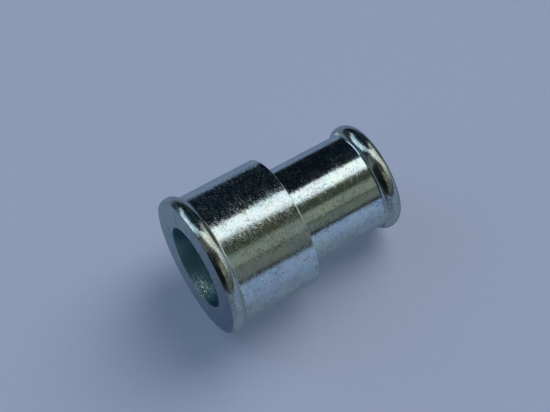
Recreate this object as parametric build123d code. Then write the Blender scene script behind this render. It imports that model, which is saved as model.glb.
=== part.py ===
from build123d import *
import math
import os

# A straight hose reducer, turned from one bar of steel. It stands on its big
# end: the origin is the centre of that end's face, and +Z runs along the bore
# to the small end. All sizes are in millimetres.

# The passage and the two lengths along it
bore_diameter = 16.3
overall_length = 38.4
shoulder_height = 18.65

# Big spigot, and the bead that keeps its hose from pulling off
big_spigot_diameter = 25.4
big_bead_rise = 1.0
big_bead_round = 2.2
big_bead_inset = 1.2

# Small spigot and its bead
small_spigot_diameter = 19.0
small_bead_rise = 1.1
small_bead_round = 2.0
small_bead_inset = 1.5
small_root_radius = 0.4

# The shoulder's broken edge and the radius at its foot, and the bore's mouths
shoulder_edge_chamfer = 0.15
shoulder_foot_radius = 0.4
bore_edge_chamfer = 0.2

# The same sizes as radii and heights
bore_radius = bore_diameter / 2
big_radius = big_spigot_diameter / 2
small_radius = small_spigot_diameter / 2
big_crest_height = big_bead_inset
small_crest_height = overall_length - small_bead_inset
widest_radius = max(big_radius + big_bead_rise, small_radius + small_bead_rise)


def bar(radius, bottom, top):
    """Half section of a plain round bar, from the axis out to a radius."""
    return Pos(0, bottom) * Rectangle(radius, top - bottom, align=(Align.MIN, Align.MIN))


def bead(spigot_radius, rise, roundness, crest_height):
    """Round section sunk into a spigot's wall, so that only its crest stands proud."""
    return Pos(spigot_radius + rise - roundness, crest_height) * Circle(roundness)


def bead_half_width(rise, roundness):
    """How far the bead reaches along the spigot, to each side of its crest."""
    return math.sqrt(roundness**2 - (roundness - rise) ** 2)


def corner(section, radius, height):
    """The section's corner at the given radius and height."""
    return section.vertices().sort_by_distance((radius, height, 0))[0]


# Half section of the turned outside: both spigots with their beads, whose
# rounds the two end faces cut off flat
section = bar(big_radius, 0, shoulder_height)
section += bar(small_radius, 0, overall_length)
section += bead(big_radius, big_bead_rise, big_bead_round, big_crest_height)
section += bead(small_radius, small_bead_rise, small_bead_round, small_crest_height)
section &= bar(widest_radius, 0, overall_length)

# The bore, one size from end to end
section -= bar(bore_radius, 0, overall_length)

# Where each bead runs out onto its spigot: a sharp line under the big bead, a
# soft root under the small one
big_root_height = big_crest_height + bead_half_width(big_bead_rise, big_bead_round)
small_root_height = small_crest_height - bead_half_width(small_bead_rise, small_bead_round)
section = fillet(corner(section, small_radius, small_root_height), small_root_radius)

# The step between the spigots
section = chamfer(corner(section, big_radius, shoulder_height), shoulder_edge_chamfer)
section = fillet(corner(section, small_radius, shoulder_height), shoulder_foot_radius)

# Both mouths of the bore. The end faces' outer edges stay sharp, as faced
section = chamfer(corner(section, bore_radius, 0), bore_edge_chamfer)
section = chamfer(corner(section, bore_radius, overall_length), bore_edge_chamfer)

reducer_body = revolve(Plane.XZ * section, axis=Axis.Z)

os.makedirs("parts", exist_ok=True)
export_step(reducer_body, "parts/reducer_body.step")

print("length", round(overall_length, 2), "widest", round(reducer_body.bounding_box().size.X, 3))
print("big spigot's plain wall", round(big_root_height, 3), "to", round(shoulder_height, 3))
print("small spigot's plain wall", round(shoulder_height, 3), "to", round(small_root_height, 3))
print("volume", round(reducer_body.volume, 1), "mm3")
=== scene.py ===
# %% [markdown]
# # A zinc-plated hose reducer
#
# The real object is a short steel tube with a step in it. A wide hose pushes
# over one end, a narrow hose over the other, and a rounded bead at each end
# keeps its hose from sliding off. It was turned on a lathe from one bar and
# then plated with bright zinc.
#
# The construction comes from the packed model, which is loaded first and never
# moved. Everything after it turns the same shape again with finer faces, and
# gives it its finish, its light and its camera.

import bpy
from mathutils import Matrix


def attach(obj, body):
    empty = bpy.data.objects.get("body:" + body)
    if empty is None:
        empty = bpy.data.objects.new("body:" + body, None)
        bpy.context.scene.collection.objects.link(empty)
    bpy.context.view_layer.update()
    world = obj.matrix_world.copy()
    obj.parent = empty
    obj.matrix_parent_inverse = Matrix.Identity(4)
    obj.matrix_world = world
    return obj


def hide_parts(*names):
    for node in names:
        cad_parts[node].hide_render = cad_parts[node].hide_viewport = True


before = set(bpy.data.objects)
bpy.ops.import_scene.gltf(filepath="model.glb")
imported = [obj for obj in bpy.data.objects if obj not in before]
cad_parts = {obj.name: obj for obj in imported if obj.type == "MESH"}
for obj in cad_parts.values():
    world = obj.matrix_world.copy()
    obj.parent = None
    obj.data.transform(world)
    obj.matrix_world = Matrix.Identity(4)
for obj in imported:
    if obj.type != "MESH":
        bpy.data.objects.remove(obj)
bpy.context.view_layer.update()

# %% [markdown]
# ## Tools and units
#
# A lathe drawing is in millimetres and Blender works in metres, so every length
# below is written in millimetres and multiplied by MM where it meets Blender.

# %% Imports and units
import math

import bmesh
import bpy
from mathutils import Matrix, Vector

MM = 0.001
Y_AXIS = Vector((0, 1, 0))
Z_AXIS = Vector((0, 0, 1))
QUARTER_TURN = math.pi / 2
print("one millimetre is", MM, "of Blender's units")

# %% [markdown]
# ## Sizes of the turned part
#
# The names are the ones that the part's drawing would use. Heights run up from
# the big end's face, which is the face that the part stands on.

# %% Sizes in millimetres
bore_radius = 8.15
overall_length = 38.4
shoulder_height = 18.65

big_radius = 12.7
big_bead_rise = 1.0
big_bead_round = 2.2
big_bead_height = 1.2
big_root_radius = 0.15

small_radius = 9.5
small_bead_rise = 1.1
small_bead_round = 2.0
small_bead_height = overall_length - 1.5
small_root_radius = 0.4

shoulder_edge_radius = 0.22
shoulder_foot_radius = 0.35
bore_chamfer = 0.1
face_edge_radius = 0.07
print("wall at the small spigot:", round(small_radius - bore_radius, 2), "mm")

# %% [markdown]
# ## A pencil for the half section
#
# A turned part is one outline swept round an axis. The outline could be typed
# in as a list of points, but a lathe makes it from straight cuts and round
# ones, and so does this pencil. A straight cut extrudes the last vertex to a
# new place. A round cut spins it about the round's centre, which leaves a true
# arc behind. Short lead edges at both ends of a straight cut hold the shading
# flat there, so that a mirror-bright cylinder doesn't seem to swell where it
# meets a radius.

# %% The pencil
class Outline:
    """A chain of edges in the XZ plane, drawn from its last vertex."""

    def __init__(self, radius, height):
        self.mesh = bmesh.new()
        self.first = self.tip = self.mesh.verts.new((radius * MM, 0, height * MM))

    def step_to(self, place):
        self.tip = bmesh.ops.extrude_vert_indiv(self.mesh, verts=[self.tip])["verts"][0]
        self.tip.co = place

    def line_to(self, radius, height, lead=0.05):
        """A straight cut, with a lead edge at each end."""
        start, end = self.tip.co.copy(), Vector((radius * MM, 0, height * MM))
        along = (end - start).normalized() * lead * MM
        if lead and (end - start).length > 3 * along.length:
            self.step_to(start + along)
            self.step_to(end - along)
        self.step_to(end)

    def arc(self, centre, sweep, steps):
        """A round cut about (radius, height), anticlockwise when +X is right and +Z is up."""
        about = Vector((centre[0] * MM, 0, centre[1] * MM))
        spun = bmesh.ops.spin(
            self.mesh, geom=[self.tip], cent=about, axis=-Y_AXIS, angle=sweep, steps=steps
        )
        self.tip = spun["geom_last"][0]

    def close(self):
        self.mesh.edges.new((self.tip, self.first))


print("the pencil's cuts:", [name for name in vars(Outline) if not name.startswith("_")])

# %% [markdown]
# ## Where each bead meets its spigot
#
# A bead is part of a circle that stands proud of the spigot, with a smaller
# radius in the corner at its foot. Both arcs are tangent where they meet, so
# the right triangle between their centres gives the angle and the height.

# %% Bead angles and foot radii
def bead_foot(spigot, rise, roundness, foot):
    """Angle from the crest to the foot's arc, and the foot centre's height from the crest."""
    reach = roundness + foot
    across = spigot + foot - (spigot + rise - roundness)
    return math.acos(across / reach), math.sqrt(reach * reach - across * across)


big_angle, big_foot_rise = bead_foot(big_radius, big_bead_rise, big_bead_round, big_root_radius)
small_angle, small_foot_rise = bead_foot(
    small_radius, small_bead_rise, small_bead_round, small_root_radius
)
big_centre = (big_radius + big_bead_rise - big_bead_round, big_bead_height)
small_centre = (small_radius + small_bead_rise - small_bead_round, small_bead_height)
big_face_angle = math.asin(big_bead_height / big_bead_round)
small_face_angle = math.asin((overall_length - small_bead_height) / small_bead_round)
big_face_radius = big_centre[0] + big_bead_round * math.cos(big_face_angle)
print("bead angles:", round(math.degrees(big_angle), 1), round(math.degrees(small_angle), 1))

# %% [markdown]
# ## Drawing the half section
#
# The path starts in the bore's lower mouth, goes out across the big end, up the
# outside over both beads and the shoulder, and back down the bore. The beads
# get far more steps than the small radii, because their long curves show every
# corner. One short edge is left for the end, where it holds the bore's shading
# flat at its mouth as the leads do elsewhere.

# %% Centres of the small radii, and how finely each arc is drawn
big_root = (big_radius + big_root_radius, big_bead_height + big_foot_rise)
shoulder_edge = (big_radius - shoulder_edge_radius, shoulder_height - shoulder_edge_radius)
shoulder_foot = (small_radius + shoulder_foot_radius, shoulder_height + shoulder_foot_radius)
small_root = (small_radius + small_root_radius, small_bead_height - small_foot_rise)
bead_steps = 48
big_root_steps = 8
shoulder_edge_steps = 6
shoulder_foot_steps = 8
small_root_steps = 10
closing_lead = 0.03
print("centres of the shoulder's radii:", shoulder_edge, shoulder_foot)

# %% Draw the half section
outline = Outline(bore_radius, bore_chamfer)
outline.line_to(bore_radius + bore_chamfer, 0, lead=0)
outline.line_to(big_face_radius, 0)
face_edge_start = outline.tip
outline.arc(big_centre, big_face_angle + big_angle, bead_steps)
outline.arc(big_root, -big_angle, big_root_steps)
outline.line_to(big_radius, shoulder_height - shoulder_edge_radius)
outline.arc(shoulder_edge, QUARTER_TURN, shoulder_edge_steps)
outline.line_to(small_radius + shoulder_foot_radius, shoulder_height)
outline.arc(shoulder_foot, -QUARTER_TURN, shoulder_foot_steps)
outline.line_to(small_radius, small_bead_height - small_foot_rise)
outline.arc(small_root, -small_angle, small_root_steps)
outline.arc(small_centre, small_angle + small_face_angle, bead_steps)
face_edge_end = outline.tip
outline.line_to(bore_radius + bore_chamfer, overall_length)
outline.line_to(bore_radius, overall_length - bore_chamfer, lead=0)
outline.line_to(bore_radius, bore_chamfer + closing_lead)
outline.close()
print("outline vertices:", len(outline.mesh.verts))

# %% [markdown]
# ## Breaking the sharp edge of each face
#
# A lathe hand runs a file over the edge where a flat face meets its bead. A
# bevel on the two corner vertices does the same. Its offset is measured along
# the outline from the corner. 0.55 of the radius is right for the big end's
# corner, and at the small end's blunter one it leaves a radius nearly half as
# large again.

# %% Break the two edges
offset_per_radius = 0.55
bmesh.ops.bevel(
    outline.mesh, geom=[face_edge_start, face_edge_end],
    offset=face_edge_radius * offset_per_radius * MM, offset_type="OFFSET",
    segments=4, profile=0.5, affect="VERTICES", material=-1,
)
print("outline vertices:", len(outline.mesh.verts))

# %% [markdown]
# ## Turning it
#
# A full spin with its ends merged makes the closed body. 288 steps keep the
# silhouette smooth when the part fills a picture. A spin can leave doubles at
# its seam and can come out inside out, so doubles are merged and the normals
# worked out again. Edges sharper than 30 degrees stay sharp in the shading, and
# everything else is smooth.

# %% Spin the half section
TURNS = 288
merge_distance = 0.001 * MM
sharp_from = math.radians(30)
body = outline.mesh
bmesh.ops.spin(
    body, geom=body.verts[:] + body.edges[:], cent=(0, 0, 0), axis=Z_AXIS,
    angle=math.tau, steps=TURNS, use_merge=True,
)
bmesh.ops.remove_doubles(body, verts=body.verts, dist=merge_distance)
bmesh.ops.recalc_face_normals(body, faces=body.faces)
for face in body.faces:
    face.smooth = True
for edge in body.edges:
    edge.smooth = edge.calc_face_angle(0) < sharp_from
print("faces:", len(body.faces), "volume mm3:", round(body.calc_volume() / MM**3, 1))
print("open edges:", sum(1 for edge in body.edges if not edge.is_manifold))

# %% [markdown]
# ## One piece for one turned part
#
# The real part is a single piece of metal, so the scene has a single object for
# it. The packed body is true to size but has larger faces, which a mirror finish
# would show. So the finer body stands for it: it is attached to the root body,
# and the packed body is hidden.

# %% The finished piece stands for the packed body
shell = bpy.data.meshes.new("turned_reducer")
body.to_mesh(shell)
body.free()
reducer = bpy.data.objects.new("turned_reducer", shell)
bpy.context.scene.collection.objects.link(reducer)
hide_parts("reducer_body")
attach(reducer, "root")
print("size in mm:", [round(side / MM, 2) for side in reducer.dimensions])

# %% [markdown]
# ## Shader maths that reads as Python
#
# A finish is worked out from the place on the part, which takes many small
# sums. Wrapping a socket in a class lets each sum be written as an ordinary
# expression, and every operator adds its own Math node.

# %% A number on a node tree
class Val:
    """A socket that adds, multiplies and divides like a number."""

    def __init__(self, nodes, socket):
        self.nodes, self.socket = nodes, socket

    def math(self, operation, *others, first=None):
        values = (first if first is not None else self, *others)
        return self.nodes.add("Math", {"operation": operation}, list(values))

    def __add__(self, other):
        return self.math("ADD", other)

    def __radd__(self, other):
        return self.math("ADD", other)

    def __sub__(self, other):
        return self.math("SUBTRACT", other)

    def __rsub__(self, other):
        return self.math("SUBTRACT", self, first=other)

    def __mul__(self, other):
        return self.math("MULTIPLY", other)

    def __rmul__(self, other):
        return self.math("MULTIPLY", other)

    def __truediv__(self, other):
        return self.math("DIVIDE", other)

    def __rtruediv__(self, other):
        return self.math("DIVIDE", self, first=other)

    def __pow__(self, other):
        return self.math("POWER", other)

    def __neg__(self):
        return self.math("MULTIPLY", -1)

    def __abs__(self):
        return self.math("ABSOLUTE")


print("a Val takes + - * / ** and abs")

# %% [markdown]
# ## Any other node
#
# Noise, ramps, colour mixes and shaders are nodes too. Each could be added with
# four or five lines of its own, but they all need the same things: a type, its
# settings, and a value or a link for each socket. So one method adds them all,
# and a few short ones on top of it give the kinds that come up most.

# %% A node tree that builds any other node
class Nodes:
    """Adds nodes: settings first, then a value or a link for each socket."""

    def __init__(self, tree):
        self.tree = tree
        tree.nodes.clear()

    def put(self, socket, value):
        if isinstance(value, Val):
            self.tree.links.new(value.socket, socket)
        elif isinstance(value, tuple) and len(value) == 3 and socket.type == "RGBA":
            socket.default_value = (*value, 1)
        else:
            socket.default_value = value

    def add(self, kind, settings=None, values=None, out=0):
        """Add a node and give back one of its outputs. An output node gives back None."""
        node = self.tree.nodes.new("ShaderNode" + kind)
        for name, setting in (settings or {}).items():
            setattr(node, name, setting)
        pairs = enumerate(values) if isinstance(values, list) else (values or {}).items()
        for key, value in pairs:
            self.put(node.inputs[key], value)
        return Val(self, node.outputs[out]) if node.outputs else None

    def parts_of(self, vector):
        """The three numbers of a vector."""
        split = self.add("SeparateXYZ", values=[vector])
        return [Val(self, socket) for socket in split.socket.node.outputs]

    def mix(self, factor, low, high):
        """Blend two colours."""
        return self.add("Mix", {"data_type": "RGBA"}, {0: factor, 6: low, 7: high}, out=2)

    def ramp(self, value, start, end, low=0.0, high=1.0):
        """Ease from low to high while value goes from start to end."""
        return self.add(
            "MapRange", {"interpolation_type": "SMOOTHSTEP"},
            {"Value": value, "From Min": start, "From Max": end, "To Min": low, "To Max": high},
        )

    def fade(self, value, start, end):
        """Ease from 1 to 0 while value goes from start to end."""
        return self.ramp(value, start, end, 1.0, 0.0)

    def noise(self, place, scale, detail=2.0, roughness=0.5, w=None):
        """Soft random values about 0.5. A fourth number w makes it four-dimensional."""
        values = {"Vector": place, "Scale": scale, "Detail": detail, "Roughness": roughness}
        if w is not None:
            values["W"] = w
        return self.add("TexNoise", {"noise_dimensions": "3D" if w is None else "4D"}, values)


print("methods:", [name for name in vars(Nodes) if not name.startswith("_")])

# %% [markdown]
# ## Bright zinc on turned steel
#
# Electroplated zinc copies whatever is under it, so the lathe's fine feed lines
# still show through a thin, bright, slightly uneven skin. It leans blue in some
# places and straw in others, and handling leaves short fine scratches and a few
# dull specks. The finish could be a picture wrapped round the part, but worked
# out from the place on the part it follows every radius with no seam.

# %% Where a point is on the part, in millimetres
zinc = bpy.data.materials.new("bright_zinc")
zinc.use_nodes = True
plating = Nodes(zinc.node_tree)
place = plating.add("VectorMath", {"operation": "SCALE"}, {
    "Vector": plating.add("TexCoord", out="Object"), "Scale": 1 / MM,
})
x, y, z = plating.parts_of(place)
radius = (x * x + y * y) ** 0.5
print("nodes in the zinc:", len(zinc.node_tree.nodes))

# %% [markdown]
# ## The lathe's lines
#
# The lathe's lines run round the part. A noise that changes fast up the part
# and out from its axis, and slowly round it, gives them on the cylinders, the
# beads and the faces alike. It needs four numbers: two for the direction round
# the axis, one for the height and one for the radius. Where only the strongest
# lines of such a noise are kept, they stand apart like single hairs.

# %% Feed lines, hairs and rings
def lathe_lines(pitch, run, detail=2.0, seed=0.0):
    """Lines round the part about pitch millimetres apart, each about run millimetres long."""
    spread = big_radius / run
    round_and_up = plating.add("CombineXYZ", values=[
        x / radius * spread + seed, y / radius * spread - seed, z / pitch + seed,
    ])
    return plating.noise(round_and_up, 1.0, detail=detail, w=radius / pitch)


def hairs(seed):
    """Sparse short lines."""
    return plating.ramp(lathe_lines(0.36, 1.3, detail=1.0, seed=seed), 0.63, 0.69)


grain_lines = lathe_lines(0.2, 1.0, detail=0.0)
hair_up = hairs(3.0)
hair_down = hairs(8.0)
feed = lathe_lines(0.5, 9.0)
rings = lathe_lines(0.28, 6.0, detail=1.0)
stray = plating.ramp(lathe_lines(0.25, 6.0, detail=0.0), 0.74, 0.80)
print("nodes in the zinc:", len(zinc.node_tree.nodes))

# %% [markdown]
# ## Scratches
#
# Scratches run in any direction, so the skin is unrolled first: one number is
# the distance round the part and the other is the height. A noise that is
# stretched along a slanted line there, and cut off near its peaks, leaves short
# thin marks with that slant. They are too small for the unrolling's seam to
# show. The wide spigot carries the deeper ones, so past the shoulder they fade
# to less than half.

# %% Scratches
unrolled = y.math("ARCTAN2", x) * big_radius
scratch_width = 0.13
scratch_starts = 0.62
scratch_full = scratch_starts + 0.10
layers_per_mm = 2.0


def scratches(slant, seed, length=1.6):
    """Short thin marks at a slant to the direction that runs round the part."""
    slant = math.radians(slant)
    along = unrolled * math.cos(slant) + z * math.sin(slant)
    beside = z * math.cos(slant) - unrolled * math.sin(slant)
    spot = plating.add("CombineXYZ", values=[
        along / length + seed, beside / scratch_width - seed, radius * layers_per_mm,
    ])
    return plating.ramp(plating.noise(spot, 1.0, detail=1.0), scratch_starts, scratch_full)


on_big = plating.ramp(z, shoulder_height - 0.3, shoulder_height + 0.3, 1.0, 0.4)
scratched_up = scratches(12, 1.7) + scratches(-24, 5.1) + scratches(58, 9.3, length=1.0)
scratched_down = scratches(34, 13.9) + scratches(-8, 17.3) + scratches(-70, 21.1, length=1.0)
scratched = on_big * (scratched_up + scratched_down)
print("nodes in the zinc:", len(zinc.node_tree.nodes))

# %% [markdown]
# ## Grain, stains and specks
#
# The plating bath leaves its own marks at every scale: a fine grain, a mottled
# skin, slow clouds of colour, faint etched curls and small dark specks in
# groups. Each is a noise at its own scale. A curl is the place where a noise
# crosses its middle value, which draws a thin wandering line, and the specks
# are the spots of a Voronoi pattern where a slower noise lets them show.

# %% Grain, stains and specks
grain = plating.noise(place, 3.2, detail=3.0, roughness=0.62)
mottle = plating.noise(place, 2.2, detail=3.0, roughness=0.65)
cloud = plating.noise(place, 0.28, detail=2.0)
tone = plating.noise(place, 0.33, detail=1.0)
haze = plating.ramp(plating.noise(place, 0.55, detail=4.0, roughness=0.65), 0.45, 0.70)
stain = plating.ramp(plating.noise(place, 0.24, detail=4.0, roughness=0.7), 0.58, 0.68)

curl = abs(plating.noise(place, 1.1, detail=2.0, roughness=0.6) - 0.5)
curls_here = plating.ramp(plating.noise(place, 0.45, detail=1.0), 0.52, 0.60)
etched = plating.fade(curl, 0.015, 0.05) * curls_here

spots = plating.add("TexVoronoi", {"feature": "F1"}, {"Vector": place, "Scale": 2.2}, out="Distance")
specks_here = plating.ramp(plating.noise(place, 0.42), 0.51, 0.58)
speck = plating.fade(spots, 0.26, 0.40) * specks_here
print("nodes in the zinc:", len(zinc.node_tree.nodes))

# %% [markdown]
# ## Places that look different
#
# Some places have a look of their own: the bore, the two beads, and patches
# that lie on one side of the part. Some of those patches are painted light: a
# painted glint in the bore's mouth, a painted reflection and a painted shade on
# the bore's wall, and a painted shade on the beads' crests. A place can be
# picked by its radius, by its height, or by the side it faces. The side is the
# cosine of the angle away from a chosen direction, which is 1 there and falls
# to -1 on the far side. A patch that also depends on the grain gets a broken
# edge.

# %% Masks for the bore, the beads and each side
def facing(angle):
    """1 on the side of the part at this angle from +X, falling to -1 on the far side."""
    angle = math.radians(angle)
    return (x * math.cos(angle) + y * math.sin(angle)) / radius


frosted_side = 65
shaded_crest_side = -30
painted_glint_side = 139
painted_reflection_side = 167
painted_shade_side = 85
small_bead_from = 35.2
small_bead_to = 35.8

in_bore = plating.fade(radius, bore_radius + 0.05, bore_radius + 0.15)
on_big_bead = plating.ramp(radius, big_radius + 0.05, big_radius + 0.3)
on_bead = on_big_bead + plating.ramp(z, small_bead_from, small_bead_to)
in_mouth = plating.fade(z, 1.2, 3.0)
# A patch on one side of the bore's mouth: its lean is real scuffing, and its pale colour is a painted
# glint.
painted_glint_here = plating.ramp(facing(painted_glint_side), 0.94, 0.985)
scuffs_and_painted_glint = in_bore * painted_glint_here * in_mouth
frosted_here = plating.ramp(facing(frosted_side), 0.45, 0.90)
frost = on_bead * frosted_here * plating.ramp(grain, 0.40, 0.60, 0.4, 1.0)
# A darker, warmer grey on the beads' crests on one side is painted shade.
shaded_crest_here = plating.ramp(facing(shaded_crest_side), 0.0, 0.6)
crest_painted_shade = on_bead * shaded_crest_here * plating.ramp(grain, 0.38, 0.62, 0.15, 0.9)
print("nodes in the zinc:", len(zinc.node_tree.nodes))

# %% [markdown]
# ## Leaning the normal
#
# Each hair of the turned grain leans a little round the part, which frays the
# edges of every bright reflection, and so does each wall of a scratch. A height
# map can't do that alone, because its slopes would tip the light up and down
# the part far more than round it. So the lean is added to the normal itself,
# along the direction that runs round. Half of the hairs and scratches lean one
# way in full and the rest lean the other way by less, so the two edges of a
# bright band fray by different amounts. The drilled bore's rings lean along the
# part instead, and so does the scuffing in its mouth.

# %% Lean of the grain, the scratches and the bore's rings
grain_lean = 0.03
hair_lean = 0.03 + 0.02 * on_big
scratch_lean = 0.035
up_share = 0.3
ring_lean = 0.5
scuff_lean = 2.6

round_lean = (
    (grain_lines - 0.5) * grain_lean
    + (up_share * hair_up - hair_down) * hair_lean
    + (up_share * scratched_up - scratched_down) * on_big * scratch_lean
)
scuffs = lathe_lines(0.16, 0.6, detail=2.0, seed=5.0)
axial_lean = in_bore * (rings - 0.5) * ring_lean + scuffs_and_painted_glint * (scuffs - 0.5) * scuff_lean
print("nodes in the zinc:", len(zinc.node_tree.nodes))


# %% The leaned normal
def vector_sum(first, second):
    return plating.add("VectorMath", {"operation": "ADD"}, [first, second])


round_way = plating.add("CombineXYZ", values=[-(y / radius), x / radius, 0.0])
leaning_round = plating.add(
    "VectorMath", {"operation": "SCALE"}, {"Vector": round_way, "Scale": round_lean}
)
leaning_along = plating.add("CombineXYZ", values=[0.0, 0.0, axial_lean])
leaning = vector_sum(leaning_round, leaning_along)
leaned = plating.add("VectorMath", {"operation": "NORMALIZE"}, [
    vector_sum(plating.add("NewGeometry", out="Normal"), leaning),
])
print("nodes in the zinc:", len(zinc.node_tree.nodes))

# %% [markdown]
# ## Colour of the plating
#
# A metal's base colour tints whatever it mirrors, so small shifts in it read as
# stains. Blue and straw zinc drift into each other, and the mottling, stains,
# curls and specks darken them. The bore gets a blue of its own and painted
# light on its wall: a lighter green on one side is a painted reflection, a deep
# blue on another is a painted shade, and a pale patch in its lower mouth is a
# painted glint. Last come the beads: one side is frosted pale, and on another
# the crest is painted a darker, warmer grey, a painted shade.

# %% Colour on the outside
BLUE_ZINC = (0.58, 0.71, 0.71)
STRAW_ZINC = (0.69, 0.73, 0.63)
GREY_ZINC = (0.64, 0.67, 0.70)
DULL_SKIN = (0.45, 0.51, 0.55)
STAINED = (0.46, 0.44, 0.46)
ETCHED = (0.30, 0.31, 0.36)
SPECKED = (0.26, 0.27, 0.32)

tint = plating.mix(plating.ramp(cloud, 0.35, 0.65), BLUE_ZINC, STRAW_ZINC)
tint = plating.mix(plating.ramp(tone, 0.46, 0.60, 0.0, 0.7), tint, GREY_ZINC)
skin = plating.mix(plating.ramp(mottle, 0.42, 0.60, 0.0, 0.65) * (0.35 + haze), tint, DULL_SKIN)
skin = plating.mix(stain * 0.5, skin, STAINED)
skin = plating.mix(etched * 0.6, skin, ETCHED)
skin = plating.mix(speck * 0.7, skin, SPECKED)
print("nodes in the zinc:", len(zinc.node_tree.nodes))

# %% Colour in the bore and on the beads
# The bore's own blue, then a painted reflection, a painted shade and a painted glint.
BORE_BLUE = (0.24, 0.44, 0.58)
BORE_PAINTED_REFLECTION = (0.64, 0.90, 0.80)
BORE_PAINTED_SHADE = (0.10, 0.21, 0.33)
BORE_PAINTED_GLINT = (0.60, 0.74, 0.66)
FROSTED = (0.62, 0.65, 0.66)
# The crest's darker, warmer grey is a painted shade.
CREST_PAINTED_SHADE = (0.37, 0.37, 0.31)

# The lighter green on one side of the bore is a painted reflection, and the deep blue on another side
# is painted shade.
bore_tint = plating.mix(plating.ramp(facing(painted_reflection_side), 0.45, 0.90), BORE_BLUE, BORE_PAINTED_REFLECTION)
bore_tint = plating.mix(plating.ramp(facing(painted_shade_side), 0.80, 0.97), bore_tint, BORE_PAINTED_SHADE)
# The pale colour in the bore's mouth is a painted glint.
bore_tint = plating.mix(scuffs_and_painted_glint, bore_tint, BORE_PAINTED_GLINT)
skin = plating.mix(in_bore, skin, bore_tint)
skin = plating.mix(frost * plating.ramp(mottle, 0.42, 0.60, 0.3, 0.8), skin, FROSTED)
# Painted shade on the beads' crests.
skin = plating.mix(crest_painted_shade, skin, CREST_PAINTED_SHADE)
print("nodes in the zinc:", len(zinc.node_tree.nodes))

# %% [markdown]
# ## Gloss and relief
#
# A mirror with a little blur would look like chrome. Real zinc also scatters
# some light wide, which gives every bright band a soft tail. A thin rough coat
# over the metal does that, and it is strongest where the skin is hazy or marked.
# Frost, haze, etching and marks also take a little of the metal away. The relief
# is a few thousandths of a millimetre high. It shares some of its noises with
# the colour, so that a dark speck is a shallow pit as well.

# %% Gloss and relief
marks = scratched + hair_up + hair_down
dull = 0.04 * frost + 0.004 * haze + 0.008 * etched + 0.006 * marks
film = 0.03 + 0.10 * haze + 0.6 * marks
rough = (
    0.07 + 0.08 * mottle + 0.05 * haze + 0.2 * speck + 0.08 * scratched
    + 0.12 * stray + 0.30 * in_bore + 0.15 * frost
)
height = grain * 0.8 + feed * 0.4 + scratched * -0.4 + stray * 0.6 + speck * -0.5
relief = 0.004 * MM
bump = plating.add("Bump", values={
    "Strength": 1.0, "Distance": relief, "Height": height, "Normal": leaned,
}, out="Normal")
print("nodes in the zinc:", len(zinc.node_tree.nodes))

# %% The finish itself
metal = plating.add("BsdfPrincipled", values={
    "Base Color": skin, "Metallic": 1.0 - dull, "Roughness": rough, "Normal": bump,
    "Coat Weight": film, "Coat Roughness": 0.38, "Coat IOR": 1.8,
})
plating.add("OutputMaterial", values={"Surface": metal})
shell.materials.append(zinc)
print("nodes in the zinc:", len(zinc.node_tree.nodes))

# %% [markdown]
# ## Camera
#
# The part stands on its big end here, but the photographed one lies on its two
# beads, seen from in front of the big end. The camera keeps that view of the
# part: its distance, how far the axis leans away from it, and how far the axis
# rises across the picture. The last two, with the side of the part that faces
# the camera, give the turn from the picture's frame to the part's frame. The
# distance and the big end's place in the picture then give the camera's place.

# %% Camera at the photograph's angle
picture_width, picture_height = 550, 412
lean, climb = math.radians(16.358), math.radians(28.165)
distance = 271.94 * MM
focal = 1500.0
big_end_seen = (195.2, 268.1)
camera_side = 75

axis_seen = Vector((
    math.cos(lean) * math.cos(climb), math.cos(lean) * math.sin(climb), -math.sin(lean),
))
near_seen = (Z_AXIS - axis_seen * axis_seen.z).normalized()
seen = Matrix((near_seen, axis_seen.cross(near_seen), axis_seen))
side_angle = math.radians(camera_side)
near_side = Vector((math.sin(side_angle), -math.cos(side_angle), 0))
real = Matrix((near_side, Z_AXIS.cross(near_side), Z_AXIS))
turn = real.transposed() @ seen
big_end = distance * Vector((
    (big_end_seen[0] - picture_width / 2) / focal, (picture_height / 2 - big_end_seen[1]) / focal, -1,
))
print("turn from the picture's frame to the part's frame:", turn)

# %% Place the camera
sensor_width = 36
camera = bpy.data.objects.new("camera", bpy.data.cameras.new("camera"))
camera.matrix_world = Matrix.Translation(-(turn @ big_end)) @ turn.to_4x4()
camera.data.sensor_width = sensor_width
camera.data.lens = focal / picture_width * sensor_width
camera.data.clip_start = 0.01
bpy.context.scene.collection.objects.link(camera)
bpy.context.scene.camera = camera
print("camera at", [round(c / MM, 1) for c in camera.location], "mm")

# %% [markdown]
# ## Two floors
#
# The part stands on a level floor. The photographed one lies on a cloth, and the
# same camera needs a floor there too, just clear of both beads behind the part.
# Both are plain matt planes that only the camera sees, and only from the front,
# so neither hides the part from the other side or shuts out its light. Part of
# their colour is their own glow, which keeps the shadow on them from going black.

# %% Floor finish
CLOTH_COLOUR = (0.337, 0.396, 0.555)
CLOTH_GLOW = (0.29, 0.39, 0.60)
glow_strength, glow_share = 0.75, 0.3
weave_scale, drift_scale = 900.0, 14.0
unevenness = 0.06


def floor_finish(name):
    """Matt from the front, nothing from behind."""
    finish = bpy.data.materials.new(name)
    finish.use_nodes = True
    cloth = Nodes(finish.node_tree)
    point = cloth.add("TexCoord", out="Object")
    weave = cloth.noise(point, weave_scale, detail=1.0)
    drift = cloth.noise(point, drift_scale, detail=1.0)
    darker = tuple(c * (1 - unevenness) for c in CLOTH_COLOUR)
    paler = tuple(c * (1 + unevenness) for c in CLOTH_COLOUR)
    shade = cloth.mix(0.5 * weave + 0.5 * drift, darker, paler)
    matt = cloth.add("BsdfDiffuse", values={"Color": shade})
    glow = cloth.add("Emission", values={"Color": CLOTH_GLOW, "Strength": glow_strength})
    front = cloth.add("MixShader", values=[glow_share, matt, glow])
    from_behind = cloth.add("NewGeometry", out="Backfacing")
    both = cloth.add("MixShader", values=[from_behind, front, cloth.add("BsdfTransparent")])
    cloth.add("OutputMaterial", values={"Surface": both})
    return finish


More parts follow.
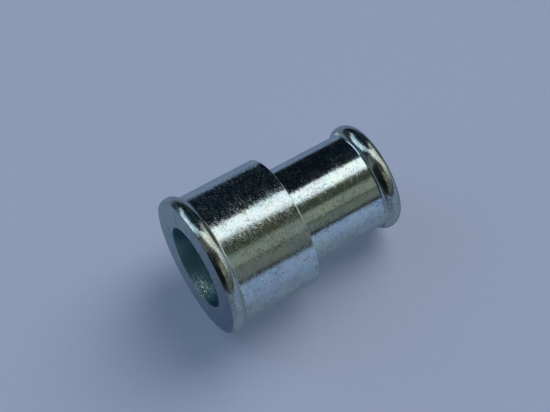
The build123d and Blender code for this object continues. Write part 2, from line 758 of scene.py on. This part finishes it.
print("the cloth's colour runs", unevenness, "either way of", CLOTH_COLOUR)

# %% [markdown]
# ## Where the floors lie
#
# A plane that just misses two round beads is found as a ruler laid on them would
# be: it leans by the difference of their radii over the run between them. Its
# normal and one point under the big bead then fix it. The level floor only needs
# to lie a hair under the big end, so that the two faces never share a place.

# %% Where the lying floor is
floor_gap = 0.03
cloth_side = Vector((1, -1, 0)).normalized()
run_between_beads = small_bead_height - big_bead_height
cloth_lean = math.asin(
    (big_centre[0] + big_bead_round - small_centre[0] - small_bead_round) / run_between_beads
)
cloth_normal = (cloth_side * math.cos(cloth_lean) - Z_AXIS * math.sin(cloth_lean)).normalized()
bead_middle = (-cloth_side * big_centre[0] + Z_AXIS * big_bead_height) * MM
touch = bead_middle - cloth_normal * (big_bead_round + floor_gap) * MM
print("the lying floor leans", round(math.degrees(cloth_lean), 2), "degrees")


# %% The two planes
def floor(name, middle, normal, reach, finish):
    """A square floor about a point, facing along its normal."""
    plane = bmesh.new()
    bmesh.ops.create_grid(plane, x_segments=1, y_segments=1, size=reach)
    facing_turn = Z_AXIS.rotation_difference(normal).to_matrix()
    bmesh.ops.rotate(plane, cent=(0, 0, 0), matrix=facing_turn, verts=plane.verts)
    bmesh.ops.translate(plane, vec=middle, verts=plane.verts)
    mesh = bpy.data.meshes.new(name)
    plane.to_mesh(mesh)
    plane.free()
    mesh.materials.append(finish)
    piece = bpy.data.objects.new(name, mesh)
    bpy.context.scene.collection.objects.link(piece)
    for ray in ("diffuse", "glossy", "transmission", "volume_scatter", "shadow"):
        setattr(piece, "visible_" + ray, False)
    print(name, "reaches", reach, "m from its middle")


floor("lying_floor", touch, cloth_normal, 0.9, floor_finish("pale_cloth"))
bench_middle = Vector((0, 0, -floor_gap * MM))
floor("standing_floor", bench_middle, Z_AXIS, 6.0, floor_finish("pale_bench"))

# %% [markdown]
# ## Light
#
# Bright metal shows the room more than itself. Lamps and real walls could make
# that room, but each would need its own size and place. A world that is painted
# by direction needs only two angles. Bearing runs round the part's axis: 0 is
# straight away from the cloth and 180 is the cloth itself. Rise is how far a
# direction climbs along the axis. The camera sees the spigots from below the
# horizon, so they mirror panels above it, and from above it is the other way
# round. So the two halves may differ.

# %% Which way a ray goes, in degrees
room = bpy.data.worlds.new("studio_room")
room.use_nodes = True
bpy.context.scene.world = room
air = Nodes(room.node_tree)
ray_x, ray_y, ray_z = air.parts_of(air.add("TexCoord", out="Generated"))
away = (ray_x - ray_y) * math.sqrt(0.5)
across = (ray_x + ray_y) * -math.sqrt(0.5)
bearing_of = across.math("ARCTAN2", away) * math.degrees(1)
rise_of = ray_z.math("ARCSINE") * math.degrees(1)
print("the camera is at bearing", 45 - camera_side, "and rise", round(-math.degrees(lean), 1))

# %% [markdown]
# ## Panels with soft edges
#
# A window, a wall or a doorway is a range of bearings and a range of rises. Hard
# edges would look like cut paper in the metal, so each range eases in and out.
# The room starts dark, and every panel is laid over what is there already, as
# paint is, so the order of the panels matters.

# %% A soft-edged panel
def band(value, start, end, edge):
    """1 between start and end, with soft edges."""
    return air.ramp(value, start - edge, start + edge) * air.fade(value, end - edge, end + edge)


class Room:
    """The room's light so far. Each panel is laid over it."""

    def __init__(self, colour):
        self.light = colour

    def over(self, mask, colour):
        self.light = air.mix(mask, self.light, colour)

    def panel(self, colour, bearing, rise=None, edge=3.0, rise_edge=4.0):
        """Lay a panel between two bearings, and between two rises where they are given."""
        mask = band(bearing_of, *bearing, edge)
        if rise:
            mask = mask * band(rise_of, *rise, rise_edge)
        self.over(mask, colour)


here = Room((0.002, 0.005, 0.009))
print("nodes in the room:", len(room.node_tree.nodes))

# %% [markdown]
# ## The near side and the dark side
#
# From the cloth's near edge up to the window is a dim olive wall, which both
# spigots mirror under their white band. Beyond the window the room is almost
# black, and that gives the black band over it. Below the horizon the wall is
# darker still, with a few faint patches that the beads pick up.

# %% The near side, above the horizon and below it
# The wall, its wide pale strip, its dim strip and the dark line at the cloth's edge.
here.panel((0.050, 0.057, 0.038), (-92, 0))
here.panel((0.25, 0.285, 0.25), (-60, -38), edge=2.5)
here.panel((0.145, 0.17, 0.16), (-83, -63.5), edge=2.0)
here.panel((0.009, 0.009, 0.008), (-95, -86), edge=1.0)
# Below the horizon the wall is nearly black, with a grey, a darker and a warm patch.
here.panel((0.012, 0.017, 0.018), (-88, -14), (-80, -4), rise_edge=3.0)
here.panel((0.10, 0.11, 0.11), (-88, -71), (-15, -5), rise_edge=3.0)
here.panel((0.006, 0.009, 0.010), (-72, -44), (-50, -2), edge=6.0, rise_edge=3.0)
here.panel((0.14, 0.085, 0.05), (-43, -35), (-9, 3), edge=2.0, rise_edge=3.0)
print("nodes in the room:", len(room.node_tree.nodes))

# %% The dark side
# Blue-black low down and bluer near the window, then higher up, then beside the cloth.
here.panel((0.012, 0.032, 0.058), (26, 92), (-80, 9))
here.panel((0.006, 0.040, 0.078), (26, 62), (-25, 9))
here.panel((0.012, 0.034, 0.044), (26, 92), (23, 44))
here.panel((0.03, 0.045, 0.06), (70, 96), (-80, -3))
print("nodes in the room:", len(room.node_tree.nodes))

# %% [markdown]
# ## The window
#
# The white band on both spigots is a window. Its left edge slants and its right
# edge is upright. Over it are pale walls and a ceiling. A straight spigot mirrors
# only the rises that match the camera's own, so these walls show in the round
# beads alone.

# %% The window strip and the light over it
window_foot = air.ramp(bearing_of + 0.45 * rise_of, -8.5, 0.5) * air.fade(bearing_of, 14.0, 17.0)
here.over(window_foot * air.ramp(rise_of, -6.0, 2.0), (1.27, 1.38, 1.40))
here.panel((0.88, 0.91, 0.86), (-38, 35), (36, 61), edge=5.0)
arch = rise_of - 0.28 * bearing_of
here.over(band(arch, 37.0, 43.0, 3.0) * band(bearing_of, 14.0, 60.0, 6.0), (0.58, 0.64, 0.65))
here.panel((0.60, 0.64, 0.62), (-66, -34), (46, 62), edge=5.0)
# The ceiling all round, its bright part over the near side and its dark part beyond.
here.panel((0.25, 0.28, 0.33), (-180, 180), (68, 91))
here.panel((0.60, 0.70, 0.75), (-60, 0), (64, 78))
here.panel((0.06, 0.08, 0.085), (4, 105), (63, 91))
# Under the window, below the horizon.
here.panel((0.19, 0.205, 0.20), (-15, 10), (-80, -3))
here.panel((0.11, 0.125, 0.12), (-15, 10), (-34, -14))
here.panel((0.08, 0.11, 0.15), (15, 85), (-91, -52))
print("nodes in the room:", len(room.node_tree.nodes))

# %% [markdown]
# ## The sky
#
# Under the window the sky comes in as a bright horseshoe round a dark doorway.
# Its left side slants and its right side is upright. The light is brightest low
# down, with one small clear spot at the end of its right arm.

# %% The sky below the window
def ellipse(bearing, rise, half_width, half_height):
    """1 on the ellipse, less inside it."""
    wide = (bearing_of - bearing) / half_width
    high = (rise_of - rise) / half_height
    return (wide * wide + high * high) ** 0.5


doorway = ellipse(43, 6, 20, 20)
left_arm = air.ramp(bearing_of + 0.62 * rise_of, 1.0, 8.0)
right_arm = air.fade(bearing_of, 66.0, 73.0)
sky = left_arm * right_arm * air.ramp(rise_of, -49.0, -43.0) * air.fade(rise_of, -1.0, 6.0)
LOW_SKY, HIGH_SKY = (0.98, 1.35, 1.65), (0.62, 0.85, 1.00)
sky_light = air.mix(air.ramp(rise_of, -30.0, -14.0), LOW_SKY, HIGH_SKY)
here.over(sky * air.ramp(doorway, 0.88, 1.12), sky_light)
here.panel((1.2, 1.2, 1.3), (66, 72), (-5, 2), edge=1.5, rise_edge=2.0)
print("nodes in the room:", len(room.node_tree.nodes))

# %% [markdown]
# ## The cloth behind the part
#
# The low part of both spigots mirrors the cloth that the part lies on, and so
# does the thin rim at the top. The cloth's colour changes with the bearing: it
# is brightest where it lies open to the light and darkest close behind the
# part, where it lies in the part's own shade.

# %% The cloth behind the part
far = air.ramp(bearing_of, 92.0, 103.0)
near = air.fade(bearing_of, -94.0, -89.0)
cloth_far = air.mix(air.ramp(bearing_of, 100.0, 142.0), (0.20, 0.27, 0.41), (0.125, 0.19, 0.30))
cloth_near = air.mix(air.ramp(bearing_of, -150.0, -100.0), (0.18, 0.24, 0.34), (0.27, 0.37, 0.575))
cloth_near = air.mix(air.ramp(bearing_of, -178.0, -152.0), (0.14, 0.19, 0.265), cloth_near)
here.over(far, cloth_far)
here.over(near, cloth_near)
here.over(air.ramp(bearing_of, 146.0, 154.0), (0.11, 0.15, 0.21))
# Below the horizon: the near cloth, the shade under its edge, the far cloth, the
# shade behind the part, and a paler patch on the far cloth.
here.panel((0.165, 0.22, 0.31), (-138, -98), (-60, 5))
here.panel((0.05, 0.06, 0.06), (-112, -86), (-91, -36))
here.panel((0.165, 0.22, 0.29), (101, 148), (-60, -4))
here.panel((0.05, 0.082, 0.16), (151, 200), (-60, -6), edge=2.5)
here.panel((0.55, 0.59, 0.66), (114, 134), (-24, -12), rise_edge=2.0)
print("nodes in the room:", len(room.node_tree.nodes))

# %% [markdown]
# ## What the camera sees past the floors
#
# From behind the floors nothing hides the world, and a room of panels would
# look odd there. So a camera ray gets one plain pale colour, and only the rays
# that light the part or bounce off it get the room.

# %% Plain background for the camera
PLAIN_BACKGROUND = (0.42, 0.47, 0.60)
camera_ray = air.add("LightPath", out="Is Camera Ray")
seen_light = air.mix(camera_ray, here.light, PLAIN_BACKGROUND)
background = air.add("Background", values={"Color": seen_light, "Strength": 1.0})
air.add("OutputWorld", values={"Surface": background})
print("nodes in the room:", len(room.node_tree.nodes))

# %% [markdown]
# ## A lamp for the floors
#
# A room that shines from all sides leaves only a weak shadow. A sun lamp adds a
# clear one, and its wide angle of 50 degrees gives that shadow the soft edge of
# daylight through a window. It shines from the open side of the cloth and from
# the small end, and the metal doesn't mirror it.

# %% A lamp for the floors
lamp = bpy.data.objects.new("floor_lamp", bpy.data.lights.new("floor_lamp", "SUN"))
lamp.data.energy = 2.3
lamp.data.angle = math.radians(50)
lamp.data.color = (1.0, 0.91, 0.81)
far_side = Vector((-1, -1, 0)).normalized()
lamp_from = cloth_side + far_side * 0.2 + Z_AXIS * 0.75
lamp.matrix_world = lamp_from.to_track_quat("Z", "Y").to_matrix().to_4x4()
lamp.visible_glossy = False
bpy.context.scene.collection.objects.link(lamp)
print("the lamp shines from", [round(part, 2) for part in lamp_from.normalized()])

# %% [markdown]
# ## Finish
#
# Standard view transform shows each colour as it is written.

# %% Finish
bpy.context.scene.view_settings.view_transform = "Standard"
